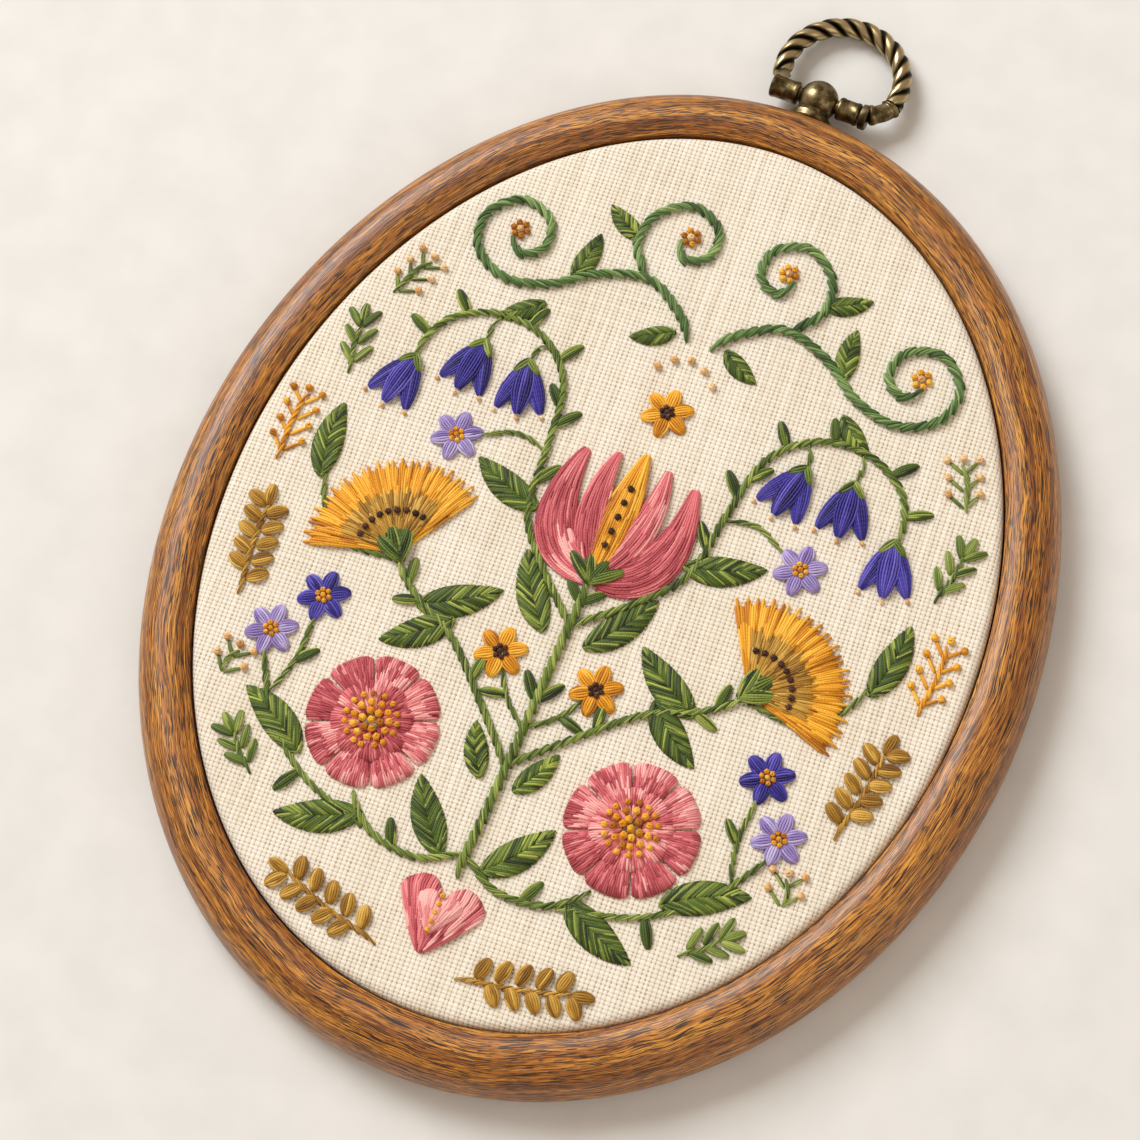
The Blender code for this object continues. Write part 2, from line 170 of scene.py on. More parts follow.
def toFrame(x, y, z):  # mm about the oval's middle to metres in the shared frame
    return Vector((x, y + ovalMiddleY, z)) * mm


# Camera, floor and light

view = {"place": (95.7, -131.7, 490.6), "right": (0.912, 0.404, -0.069), "up": (-0.366, 0.879, 0.307),
    "lens": 82.8, "sensor": 36, "shift": (-0.0303, 0.0091)}


def makeCamera():
    data = bpy.data.cameras.new("camera")
    data.lens, data.sensor_width = view["lens"], view["sensor"]
    data.shift_x, data.shift_y = view["shift"]
    data.clip_start, data.clip_end = 0.01, 10
    camera = bpy.data.objects.new("camera", data)
    right, up = Vector(view["right"]).normalized(), Vector(view["up"])
    up = (up - right * up.dot(right)).normalized()
    turn = Matrix((right, up, right.cross(up))).transposed()
    camera.matrix_world = Matrix.Translation(toFrame(*view["place"])) @ turn.to_4x4()
    bpy.context.scene.collection.objects.link(camera)
    bpy.context.scene.camera = camera
    print("camera done")


studio = {"floorTones": ((0.3, "#d9d9d8"), (0.7, "#dfdfde")), "floorSize": 3.0, "fibreScale": 90.0,
    "floorRoughness": 0.9, "airColour": "#ffebd5", "airStrength": 0.51,
    "lights": [("key", (-1.65, 0.92, 1.65), 1.28, 63.0, "#fdfffe"),  # name, place, size, power, colour
        ("fill", (0.9, -0.42, 0.9), 1.1, 3.2, "#fffaf4")]}


def makeStudio():
    material, shader, add = newMaterial("paper backdrop")  # matte paper, gives a soft even shadow
    place = add("TexCoord").outputs["Object"]
    fibres = add("TexNoise", {"Vector": place, "Scale": studio["fibreScale"]})
    tone = add("ValToRGB", {"Fac": fibres}, stops=studio["floorTones"])
    setSockets(shader, {"Base Color": tone, "Roughness": studio["floorRoughness"]})
    work = bmesh.new()
    bmesh.ops.create_grid(work, x_segments=2, y_segments=2, size=studio["floorSize"])
    addPiece("floor", meshFrom(work, "floor"), material)

    air = bpy.data.worlds.new("soft air")
    air.use_nodes = True
    setSockets(air.node_tree.nodes["Background"],
        {"Color": srgb(studio["airColour"]), "Strength": studio["airStrength"]})
    bpy.context.scene.world = air
    bpy.context.scene.view_settings.view_transform = "Standard"  # keeps the thread colours as mixed
    for name, place, size, power, colour in studio["lights"]:
        lamp = bpy.data.lights.new(name, "AREA")
        lamp.size, lamp.energy, lamp.color = size, power, srgb(colour)[:3]
        light = bpy.data.objects.new(name, lamp)
        light.location = place
        light.rotation_euler = (-Vector(place)).to_track_quat("-Z", "Y").to_euler()
        bpy.context.scene.collection.objects.link(light)
    print("floor and lights done")


# Oak outer hoop and beech inner hoop

woodHoops = {"height": 12.5, "widest": 3.2, "fullness": 2.3, "backRound": 2.0, "wallRound": 0.4,
    "cornerSteps": 5, "arcSteps": 30, "ovalSteps": 300, "sideStep": 0.6,
    "clothThickness": 1.0, "gap": 0.3, "innerWidth": 5.5, "innerFoot": 0.8, "innerTop": 9.9,
    "innerRound": 0.7}
figure = {"radius": 89.0, "pointStep": 1.027,  # mm of figure for each point round the section
    "bendScale": 3.2, "bendReach": 7.0, "wiggleReach": 0.5,
    "wiggle": (4.5, 1.4), "bands": (70, 3.0), "fibres": (12, 0.34),  # length along, width across, in mm
    "pores": (4.8, 0.30), "finePores": (2.6, 0.24),
    "fibreShare": 0.68, "bandShare": 0.44, "tonePlaces": (0.40, 0.54, 0.68), "bump": (0.35, 0.12)}
oakLook = {"name": "satin varnished oak", "tones": ("#582a08", "#a46018", "#d8983a"), "pore": "#2a1406",
    "poreStart": 0.555, "roughness": 0.5, "coat": 0.85, "coatRoughness": 0.4}
beechLook = {"name": "bare sanded beech", "tones": ("#c39a6c", "#d4b083", "#e0c49c"), "pore": "#a87a4c",
    "poreStart": 0.66, "roughness": 0.6, "coat": 0.0, "coatRoughness": 0.03}


def outerOutline():
    out, inward, widest = oval["outward"], oval["inward"], woodHoops["widest"]
    ease, wall, power = woodHoops["backRound"], woodHoops["wallRound"], 2 / woodHoops["fullness"]
    share = (inward / out) ** (1 / power)
    last = pi - atan2(sqrt(1 - share * share), share)
    outline = []
    for step in range(woodHoops["cornerSteps"] + 1):  # eased lower corner
        bend = radians(90 * step / woodHoops["cornerSteps"])
        outline.append((out - ease * (1 - sin(bend)), widest * (1 - cos(bend))))
    for step in range(1, woodHoops["arcSteps"] + 1):  # rounded front
        angle = last * step / woodHoops["arcSteps"]
        side = 1 if cos(angle) >= 0 else -1
        rise = (woodHoops["height"] - widest) * sin(angle) ** power
        outline.append((side * out * abs(cos(angle)) ** power, widest + rise))
    lip = outline[-1][1]
    outline += [(-inward, wall + (lip - wall) * level) for level in (0.66, 0.33)]
    return outline + [(-inward, wall), (-inward + 0.3 * wall, 0.3 * wall), (-inward + wall, 0.0)]


def innerOutline():
    bend = woodHoops["innerRound"]
    outer = -(oval["inward"] + 2 * woodHoops["gap"] + woodHoops["clothThickness"]) - bend
    inner = outer - woodHoops["innerWidth"] + 2 * bend
    top, foot = woodHoops["innerTop"] - bend, woodHoops["innerFoot"] + bend
    corners = ((outer, foot, -90), (outer, top, 0), (inner, top, 90), (inner, foot, 180))
    return [(across + bend * cos(radians(start + 22.5 * step)), up + bend * sin(radians(start + 22.5 * step)))
        for across, up, start in corners for step in range(5)]


def splitLongSides(outline):  # even points along the flats, as the figure counts points round the section
    points = []
    for start, end in zip(outline, outline[1:] + outline[:1]):
        steps = max(1, round(hypot(end[0] - start[0], end[1] - start[1]) / woodHoops["sideStep"] - 0.25))
        points += [tuple(a + (b - a) * k / steps for a, b in zip(start, end)) for k in range(steps)]
    return points


def woodMaterial(outline, look):
    # the UV map runs u round the ring and v round the section; a circle in u keeps the grain without a seam
    material, shader, add = newMaterial(look["name"])
    split = add("SeparateXYZ", [add("UVMap", uv_map="UVMap")])
    turn = add("Math", [split.outputs["X"], 2 * pi], "MULTIPLY")
    circle = [add("Math", [turn], kind) for kind in ("COSINE", "SINE")]
    girth = len(outline) * figure["pointStep"]
    across = add("Math", [split.outputs["Y"], girth], "MULTIPLY")
    ring = add("CombineXYZ", circle)
    bend = add("TexNoise", {"Vector": ring, "Scale": figure["bendScale"], "Detail": 2.0})
    drift = add("Math", [bend, figure["bendReach"], across], "MULTIPLY_ADD")

    def grain(line, size, detail, roughShare=0.5):  # noise drawn out along the ring
        far = figure["radius"] / size[0]
        sides = [add("Math", [part, far], "MULTIPLY") for part in circle]
        place = add("CombineXYZ", sides + [add("Math", [line, size[1]], "DIVIDE")])
        return add("TexNoise", {"Vector": place, "Scale": 1.0, "Detail": detail,
                "Roughness": roughShare})

    wiggle = grain(drift, figure["wiggle"], 1.0)
    wavy = add("Math", [wiggle, figure["wiggleReach"], drift], "MULTIPLY_ADD")
    bands = grain(drift, figure["bands"], 2.0)
    fibres = grain(wavy, figure["fibres"], 3.0, 0.65)
    pores = grain(wavy, figure["pores"], 1.0)
    finePores = grain(wavy, figure["finePores"], 0.0)
    tone = add("Math", [fibres, figure["fibreShare"]], "MULTIPLY")
    mixed = add("Math", [bands, figure["bandShare"], tone], "MULTIPLY_ADD")
    body = add("ValToRGB", {"Fac": mixed}, stops=list(zip(figure["tonePlaces"], look["tones"])))
    start = look["poreStart"]
    longPores = add("MapRange", {"Value": pores, "From Min": start, "From Max": start + 0.05},
        interpolation_type="SMOOTHSTEP")
    shortPores = add("MapRange", {"Value": finePores, "From Min": start + 0.02,
            "From Max": start + 0.09, "To Max": 0.8}, interpolation_type="SMOOTHSTEP")
    poreMask = add("Math", [longPores, shortPores], "MAXIMUM")
    colour = add("Mix", {0: poreMask, 6: body, 7: srgb(look["pore"])}, data_type="RGBA")
    depth = add("Math", [poreMask, -1.0, fibres], "MULTIPLY_ADD")
    strength, distance = figure["bump"]
    bump = add("Bump", {"Strength": strength, "Distance": distance * mm, "Height": depth})
    setSockets(shader, {"Base Color": colour.outputs[2], "Normal": bump, "Roughness": look["roughness"],
            "Specular IOR Level": 0.15, "Coat Weight": look["coat"], "Coat Roughness": look["coatRoughness"]})
    return material


def makeHoops():
    # oak, steam bent, stained brown and satin varnished: dark open pores along the ring, a soft broad gloss
    # beech, planed and sanded, bare: pale and matte with short fine flecks
    turns = [2 * pi * k / woodHoops["ovalSteps"] for k in range(woodHoops["ovalSteps"])]
    for name, outline, look, slotName, node in (
            ("oakHoop", splitLongSides(outerOutline()), oakLook, "brown_oak", "outer_hoop"),
            ("beechHoop", splitLongSides(innerOutline()), beechLook, "inner_hoop_wood", "inner_hoop")):
        curve = polyCurve(name, [[toFrame(*ovalPoint(turn), 0) for turn in turns]], closed=True, twist="Z_UP")
        hoop = addPiece(name, curveMesh(curve, outline), woodMaterial(outline, look), slotName, sharpAngle=35)
        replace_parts(hoop, node)
    print("hoops done")


# Linen

linen = {"level": 11.2, "thickness": 0.55, "roll": 2.0, "foot": 1.2, "gap": 0.3, "segments": 260, "rings": 62,
    "ripple": 0.13, "rippleSize": 17.0}
# the weave's thread tones and gap colour hold painted light and shade: a lighter crown and darker sides on
# each thread, and darkened gaps between threads
weave = {"warpPitch": 0.942, "weftPitch": 0.834, "turn": 4.8, "slub": 0.75,  # mm and degrees
    "warpStretch": (0.9, 0.06, 1.0), "weftStretch": (0.06, 0.9, 1.0),
    "gapFrom": 0.24, "gapTo": 0.66, "gapShadeStrength": 0.85, "paintedHeightShadeShare": 0.42, "fuzzShare": 0.40,
    "warpChanceShare": 0.17, "weftChanceShare": 0.08, "paintedWarpHighlightShare": 0.10,
    "threadToneAndShade": ((0.28, "#cbbfaa"), (0.58, "#e6dfd3"), (0.9, "#f4f1eb")),
    "aged": "#f8f2e7", "paintedGapShade": "#8f7656", "bump": (0.6, 0.16)}


def ripple(x, y):  # the slight unevenness of the stretched cloth, in mm
    return linen["ripple"] * noise.noise(Vector((x, y, 3.0)) / linen["rippleSize"])


def clothTop(x, y):
    return linen["level"] + ripple(x, y)


def linenMaterial():
    # linen, plain weave at 27 to 30 threads to the inch, undyed cream: thick and thin threads; painted shade
    # darkens the gaps between threads and each thread's sides, with a painted highlight on each thread's
    # crown
    material, shader, add = newMaterial("plain woven linen")
    uvMap = add("UVMap", uv_map="flat")  # the flat cloth, one unit to a mm
    turned = add("Mapping", {"Vector": uvMap, "Rotation": (0, 0, radians(-weave["turn"]))})
    split = add("SeparateXYZ", [turned])

    def threads(along, pitch, stretch):  # a row of threads: their rounded height, their number and a chance
        far = add("VectorMath", [turned, stretch], "MULTIPLY")
        slub = add("TexNoise", {"Vector": far, "Scale": 1.0, "Detail": 3.0})
        shifted = add("Math", [slub, weave["slub"], along], "MULTIPLY_ADD")
        count = add("Math", [shifted, pitch], "DIVIDE")
        part = add("Math", [count], "FRACT")
        wave = add("Math", [part, pi], "MULTIPLY")
        height = add("Math", [wave], "SINE")
        whole = add("Math", [count], "FLOOR")
        chance = add("TexWhiteNoise", {"W": whole}, noise_dimensions="1D")
        return height, whole, chance.outputs["Value"]

    warp, warpNumber, warpChance = threads(split.outputs["X"], weave["warpPitch"], weave["warpStretch"])
    weft, weftNumber, weftChance = threads(split.outputs["Y"], weave["weftPitch"], weave["weftStretch"])
    both = add("Math", [warpNumber, weftNumber], "ADD")
    half = add("Math", [both, 0.5], "MULTIPLY")
    over = add("Math", [half], "FRACT")  # 0 or 0.5: warp or weft on top
    isWeft = add("Math", [over, 2.0], "MULTIPLY")
    top = add("Mix", {0: isWeft, 2: warp, 3: weft}, data_type="FLOAT")
    crown = add("Mix", {0: isWeft, 2: weft, 3: warp}, data_type="FLOAT")
    topRound = add("Math", [top, 0.7], "POWER")
    bulge = add("Math", [crown, 0.45, 0.55], "MULTIPLY_ADD")
    height = add("Math", [topRound, bulge], "MULTIPLY")
    lowWeft = add("Math", [weft, 0.2], "SUBTRACT")  # gaps are longer along the warp
    product = add("Math", [warp, lowWeft], "MAXIMUM")
    fuzz = add("TexNoise", {"Vector": turned, "Scale": 2.6, "Detail": 4.0, "Roughness": 0.7})
    broad = add("TexNoise", {"Vector": turned, "Scale": 0.05, "Detail": 3.0})
    patchy = add("TexNoise", {"Vector": turned, "Scale": 0.42, "Detail": 3.0, "Roughness": 0.7})
    opening = add("MapRange", {"Value": patchy, "From Min": 0.36, "From Max": 0.64,
            "To Min": weave["gapFrom"], "To Max": weave["gapTo"]})
    # painted shade: the gaps between threads are darkened
    gapShadeMask = add("MapRange", {"Value": product, "From Min": opening, "From Max": 0.14,
            "To Max": weave["gapShadeStrength"]}, interpolation_type="SMOOTHSTEP")
    # painted light and shade: each thread's crown is lighter and its sides darker, and warp crests get a
    # painted highlight; fuzz and each thread's chance add random tone
    shade = add("Math", [height, weave["paintedHeightShadeShare"]], "MULTIPLY")
    for source, share in ((fuzz, "fuzzShare"), (warpChance, "warpChanceShare"),
            (weftChance, "weftChanceShare"), (warp, "paintedWarpHighlightShare")):
        shade = add("Math", [source, weave[share], shade], "MULTIPLY_ADD")
    thread = add("ValToRGB", {"Fac": shade}, stops=weave["threadToneAndShade"])
    drift = add("Mix", {0: broad, 6: thread, 7: srgb(weave["aged"])}, data_type="RGBA", blend_type="MULTIPLY")
    colour = add("Mix", {0: gapShadeMask, 6: drift.outputs[2], 7: srgb(weave["paintedGapShade"])}, data_type="RGBA")
    relief = add("Math", [fuzz, 0.3, height], "MULTIPLY_ADD")
    strength, distance = weave["bump"]
    bump = add("Bump", {"Strength": strength, "Distance": distance * mm, "Height": relief})
    setSockets(shader, {"Base Color": colour.outputs[2], "Normal": bump, "Roughness": 0.85,
            "Sheen Weight": 0.25, "Sheen Roughness": 0.5, "Specular IOR Level": 0.3})
    return material


def makeLinen():
    level, roll, rings, foot = linen["level"], linen["roll"], linen["rings"], linen["foot"]
    rim = -(oval["inward"] + linen["gap"])
    rollMiddle, rollLevel = rim - roll, level - roll
    flatRim = rollMiddle + roll * pi / 2
    # each loop: outward, level, outward on the flat cloth, share of the oval
    loops = [(rollMiddle, level, rollMiddle, step / rings) for step in range(1, rings)]
    for step in range(7):  # the rounded edge
        bend = radians(15 * step)
        out, up = rollMiddle + roll * sin(bend), rollLevel + roll * cos(bend)
        loops.append((out, up, rollMiddle + roll * bend, 1.0))
    loops += [(rim, low, flatRim + rollLevel - low, 1.0) for low in (rollLevel * 0.6, foot)]

    work = bmesh.new()
    turnLayer = work.verts.layers.float.new("turn")
    flatX, flatY = work.verts.layers.float.new("flatX"), work.verts.layers.float.new("flatY")
    hub = work.verts.new((0, 0, 0))
    bmesh.ops.create_circle(work, segments=linen["segments"], radius=1.0)
    loop = [vert for vert in work.verts if vert is not hub]
    for vert in loop:
        vert[turnLayer] = atan2(vert.co.y, vert.co.x)
    edges = list(work.edges)
    for edge in edges:  # the middle is closed by a fan
        work.faces.new((hub, *edge.verts))
    hub.co = toFrame(0, 0, clothTop(0, 0))
    for count, (outward, height, flatOutward, share) in enumerate(loops):
        if count:
            grown = bmesh.ops.extrude_edge_only(work, edges=edges)["geom"]
            loop = [part for part in grown if isinstance(part, bmesh.types.BMVert)]
            edges = [part for part in grown if isinstance(part, bmesh.types.BMEdge)
                and all(vert in set(loop) for vert in part.verts)]
        for vert in loop:
            x, y = ovalPoint(vert[turnLayer], outward)
            rise = ripple(x * share, y * share) * min(1.0, 12 * (1 - share))
            vert.co = toFrame(x * share, y * share, height + rise)
            x, y = ovalPoint(vert[turnLayer], flatOutward)
            vert[flatX], vert[flatY] = x * share, y * share
    bmesh.ops.recalc_face_normals(work, faces=work.faces)
    if max(work.faces, key=lambda face: face.calc_area()).normal.z < 0:
        bmesh.ops.reverse_faces(work, faces=work.faces)
    flatMap = work.loops.layers.uv.new("flat")
    for face in work.faces:
        for corner in face.loops:
            corner[flatMap].uv = (corner.vert[flatX], corner.vert[flatY])
    cloth = addPiece("linenCloth", meshFrom(work, "linenCloth"), linenMaterial(), "linen")
    wall = cloth.modifiers.new("thickness", "SOLIDIFY")
    wall.thickness = linen["thickness"] * mm
    wall.offset = -1
    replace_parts(cloth, "linen")
    print("linen done")


# Brass hanger; sizes in mm, x from the ball and y past the oval's middle

hanger = {"level": 4.8, "ballRadius": 4.15, "neckRadius": 1.5, "turnedSides": 56,
    "barrelRadius": 2.4, "barrelStart": 4.3, "leftEnd": 10.3, "rightEnd": 9.0, "barrelInnerRound": 0.55,
    "barrelOuterRound": 0.4, "barrelWaist": 2.28,
    "capRadius": 2.6, "capEnd": 10.9, "capGap": 0.3, "capRound": 0.35,
    "collarRim": 4.7, "cupRadius": 3.6, "cupStart": 3.2, "cupGap": 0.12, "cupLip": 0.25, "flare": 1.45,
    "collarEdge": 0.3,
    "ringRadius": 12.4, "ringX": 2.3, "ringPastBall": 7.3, "ringFarLevel": 2.4, "ringStart": -15.0,
    "ringEnd": 198.5, "ropeRadius": 2.05, "ropeGroove": 0.27, "ropePitch": 11.4, "ropeStrands": 3,
    "ropeSides": 42, "ropeStepsPerPitch": 44, "ropeHidden": 2.0,
    "ferruleRadius": 2.1, "ferruleFoot": (10.7, 0.7), "ferruleKnee": 1.6, "ferruleSteps": 20,
    "ferruleWaist": 0.88, "ferruleBands": {0: 0.86, 1: 1.0, 2: 1.0, 3: 1.0, 4: 0.9, 17: 0.9, 18: 1.02,
        19: 1.06, 20: 1.06, 21: 0.9}}
antique = {"cloudScale": 420.0, "cloudShare": 0.45, "hollow": 0.31,
    "tones": ((0.2, "#15110a"), (0.46, "#54482e"), (0.8, "#b8a47c")), "rough": (0.52, 0.3)}
ballLow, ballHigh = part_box("ball_knuckle")
ballY = (ballLow.y + ballHigh.y) / 2 / mm - ovalMiddleY
ringMiddleY = ballY + hanger["ringPastBall"]
ringFall = (hanger["level"] - hanger["ringFarLevel"]) / (ringMiddleY + hanger["ringRadius"] - ballY)


def brassMaterial(name, grooves):
    # brass, cast and antiqued: brown-black patina left in the hollows, raised parts rubbed back to pale metal
    material, shader, add = newMaterial(name)
    place = add("TexCoord").outputs["Object"]
    cloudy = add("TexNoise", {"Vector": place, "Scale": antique["cloudScale"], "Detail": 4.0,
            "Roughness": 0.6})
    rubbed = cloudy
    if grooves:  # v runs round the rope, and each hollow keeps its own v
        split = add("SeparateXYZ", [add("UVMap", uv_map="UVMap")])
        angle = add("Math", [split.outputs["Y"], grooves * pi], "MULTIPLY")
        crest = add("Math", [angle], "COSINE")
        crest = add("Math", [crest], "ABSOLUTE")
        rubbed = add("Math", [cloudy, antique["cloudShare"], crest], "MULTIPLY_ADD")
        rubbed = add("Math", [rubbed, antique["hollow"]], "SUBTRACT")
    dull, bright = antique["rough"]
    rough = add("MapRange", {"Value": rubbed, "From Min": 0.2, "From Max": 0.8, "To Min": dull,
            "To Max": bright})
    setSockets(shader, {
        "Base Color": add("ValToRGB", {"Fac": rubbed}, stops=antique["tones"]), "Roughness": rough,
        "Normal": add("Bump", {"Strength": 0.25, "Distance": 0.1 * mm, "Height": cloudy}), "Metallic": 1.0})
    return material


def turnedPiece(name, profile, along, material, node):  # profile of (radius, distance from the ball)
    work = bmesh.new()
    spots = [work.verts.new((radius * mm, 0, far * mm)) for radius, far in profile]
    edges = [work.edges.new(pair) for pair in zip(spots, spots[1:])]
    bmesh.ops.spin(work, geom=spots + edges, cent=(0, 0, 0), axis=(0, 0, 1), angle=2 * pi,
        steps=hanger["turnedSides"], use_merge=True)
    bmesh.ops.remove_doubles(work, verts=work.verts, dist=0.002 * mm)
    bmesh.ops.recalc_face_normals(work, faces=work.faces)
    place = Matrix.Translation(toFrame(0, ballY, hanger["level"]))
    turn = Vector(along).to_track_quat("Z", "Y").to_matrix().to_4x4()
    bmesh.ops.transform(work, matrix=place @ turn, verts=work.verts)
    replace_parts(addPiece(name, meshFrom(work, name), material, "antique_brass"), node)


def arcProfile(radius, start, end, steps, middle=0.0, flat=0.0):  # part of a round, angles from the axis
    angles = [radians(start + (end - start) * k / steps) for k in range(steps + 1)]
    return [(flat + radius * sin(angle), middle + radius * cos(angle)) for angle in angles]


def ringPoint(angle):
    reach, turn = hanger["ringRadius"], radians(angle)
    y = ringMiddleY + reach * sin(turn)
    return toFrame(hanger["ringX"] + reach * cos(turn), y, hanger["level"] - ringFall * (y - ballY))


def makeHanger():
    brass, ropeBrass = brassMaterial("antiqued cast brass", 0), brassMaterial("antiqued brass rope", 3)
    ball, barrel, waist = hanger["ballRadius"], hanger["barrelRadius"], hanger["barrelWaist"]
    start, neck = hanger["barrelStart"], hanger["neckRadius"]
    inner, outer = hanger["barrelInnerRound"], hanger["barrelOuterRound"]
    turnedPiece("brassBall", [(0, start), (neck, start)] + arcProfile(ball, 20, 160, 28)
        + [(neck, -start), (0, -start)], (1, 0, 0), brass, "ball_knuckle")
    for name, end, sign, node in (("brassBarrelLeft", hanger["leftEnd"], -1, "left_barrel"),
            ("brassBarrelRight", hanger["rightEnd"], 1, "right_barrel")):
        profile = [(0, start)] + arcProfile(inner, 180, 90, 5, start + inner, barrel - inner)
        profile += [(barrel, start + 1.0), (waist, start + 1.15), (waist, end - 1.0), (barrel, end - 0.85)]
        profile += arcProfile(outer, 90, 0, 5, end - outer, barrel - outer) + [(0, end)]
        turnedPiece(name, profile, (sign, 0, 0), brass, node)
    cap, capEnd, bend = hanger["capRadius"], hanger["capEnd"], hanger["capRound"]
    capStart = hanger["rightEnd"] + hanger["capGap"]
    profile = [(0, capStart)] + arcProfile(bend, 180, 90, 4, capStart + bend, cap - bend)
    profile += arcProfile(bend, 90, 0, 4, capEnd - bend, cap - bend)
    profile += [(cap - 2 * bend, capEnd - 0.12), (0, capEnd - 0.02)]  # a slightly sunk end
    turnedPiece("brassEndCap", profile, (1, 0, 0), brass, "end_cap")

    rim, cup, top, lip = hanger["collarRim"], hanger["cupRadius"], hanger["cupStart"], hanger["cupLip"]
    base, edge = ballY - (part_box("collar")[0].y / mm - ovalMiddleY), hanger["collarEdge"]
    hollow = ball + hanger["cupGap"]
    profile = arcProfile(hollow, 0, degrees(acos(top / hollow)), 10)
    profile += [(cup - lip, top), (cup - 0.07, top + 0.07), (cup, top + lip)]
    for angle in (20, 40, 60, 75, 90):  # the flare down to the rim
        bend = radians(angle)
        profile.append((cup + (rim - cup) * (1 - cos(bend)), top + lip + (hanger["flare"] - lip) * sin(bend)))
    profile += [(rim, base - edge), (rim - edge, base), (0, base)]
    turnedPiece("brassCollar", profile, (0, -1, 0), brass, "collar")

    start, end, pitch = hanger["ringStart"] + hanger["ropeHidden"], hanger["ringEnd"], hanger["ropePitch"]
    length = radians(end - start) * hanger["ringRadius"]
    steps = ceil(length / pitch * hanger["ropeStepsPerPitch"])
    curve = polyCurve("brassRope", [[ringPoint(start + (end - start) * k / steps) for k in range(steps + 1)]])
    tilts = [2 * pi * k * length / steps / pitch for k in range(steps + 1)]
    curve.splines[0].points.foreach_set("tilt", tilts)
    curve.use_fill_caps = True
    outline = []
    for k in range(hanger["ropeSides"]):  # each strand has a round crest and a sharp hollow
        angle = 2 * pi * k / hanger["ropeSides"]
        hollow = (1 - abs(cos(hanger["ropeStrands"] / 2 * angle))) ** 1.5
        reach = hanger["ropeRadius"] * (1 - hanger["ropeGroove"] * hollow)
        outline.append((reach * cos(angle), reach * sin(angle)))
    rope = addPiece("brassRope", curveMesh(curve, outline), ropeBrass, "antique_brass", sharpAngle=60)
    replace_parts(rope, "hanging_ring")

    footX, footPast = hanger["ferruleFoot"]
    foot = toFrame(footX, ballY + footPast, hanger["level"] - ringFall * footPast)
    end, turn = ringPoint(hanger["ringStart"]), radians(hanger["ringStart"])
    ahead = Vector((-sin(turn), cos(turn), 0)) * mm
    knee = end - ahead * hanger["ferruleKnee"]
    shares = [k / hanger["ferruleSteps"] for k in range(hanger["ferruleSteps"] + 1)]
    line = [foot * (1 - t) ** 2 + knee * 2 * t * (1 - t) + end * t ** 2 for t in shares] + [end + ahead * 0.4]
    curve = polyCurve("brassFerrule", [line])
    widths = [hanger["ferruleBands"].get(k, hanger["ferruleWaist"]) for k in range(len(line))]
    curve.splines[0].points.foreach_set("radius", widths)
    curve.bevel_depth = hanger["ferruleRadius"] * mm
    curve.bevel_resolution = 14
    curve.use_fill_caps = True
    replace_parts(addPiece("brassFerrule", curveMesh(curve), brass, "antique_brass"), "ferrule")
    print("hanger done")


# Thread: every stitch is a few strands of floss; points in mm about the oval's middle

floss = {"toneSpread": 0.22, "petalDiameter": 0.55, "petalSpacing": 0.45, "petalLift": 0.11,
    "leafDiameter": 0.56, "leafSpacing": 0.5, "leafLift": 0.08, "leafSlant": 0.30, "leafPuff": 0.8,
    "lensDiameter": 0.5, "stemStitch": 4.6, "bundleShare": 0.25, "twist": 0.55}
strandSteps = (0.0, 0.06, 0.18, 0.38, 0.62, 0.82, 0.94, 1.0)
strandDive = (-0.32, -0.08, 0.0, 0.03, 0.03, 0.0, -0.08, -0.32)  # the ends go down into the cloth
flossColours = {  # dark, middle and light of each hue
    "pink": ("#a8404c", "#da7077", "#f5b6b3"), "gold": ("#b06a06", "#e0980e", "#f6bd3c"),
    "ochre": ("#7a5214", "#ab7d20", "#d8ae50"), "leafGreen": ("#1b2a06", "#4e6519", "#a6b24c"),
    "stemGreen": ("#35471a", "#667c2c", "#a2ae58"), "scrollGreen": ("#344e26", "#587a3c", "#92ac6a"),
    "violet": ("#1d1560", "#352a93", "#6459bf"), "lilac": ("#7560a6", "#9784c4", "#c2b5e2"),
    "brown": ("#1c0a06", "#3a1a12", "#613427"), "peach": ("#c58a4c", "#e2b375", "#f5d6a6")}
strands = {hue: [] for hue in flossColours}  # hue to a list of (points, diameter, tone)


def either(reach):  # a chance amount to either side
    return random.uniform(-reach, reach)


def placer(x, y, turn=0.0, side=1):  # local motif coordinates to the cloth; side -1 mirrors
    c, s = cos(radians(turn)), sin(radians(turn))
    return lambda across, along: ((x + across * c - along * s) * side, y + across * s + along * c)


def inside(put, x, y, turn=0.0):  # a place and a turn within a motif
    turned = placer(x, y, turn)
    return lambda across, along: put(*turned(across, along))


def bendPoint(a, b, c, t):  # point and unit normal on a quadratic curve
    x = a[0] * (1 - t) ** 2 + b[0] * 2 * t * (1 - t) + c[0] * t * t
    y = a[1] * (1 - t) ** 2 + b[1] * 2 * t * (1 - t) + c[1] * t * t
    dx = 2 * (1 - t) * (b[0] - a[0]) + 2 * t * (c[0] - b[0])
    dy = 2 * (1 - t) * (b[1] - a[1]) + 2 * t * (c[1] - b[1])
    size = hypot(dx, dy) or 1.0
    return x, y, dy / size, -dx / size


def addStrand(hue, points, diameter, tone):
    tone = min(1.0, max(0.0, random.gauss(tone, floss["toneSpread"])))
    strands[hue].append(([toFrame(x, y, clothTop(x, y) + z) for x, y, z in points], diameter * mm, tone))


def layStrand(put, hue, diameter, tone, spot, dip=1.0):  # spot: place and height at a share of the length
    points = []
    for t, dive in zip(strandSteps, strandDive):
        x, y, rise = spot(t)
        points.append((*put(x, y), rise + dive * dip))
    addStrand(hue, points, diameter, tone)


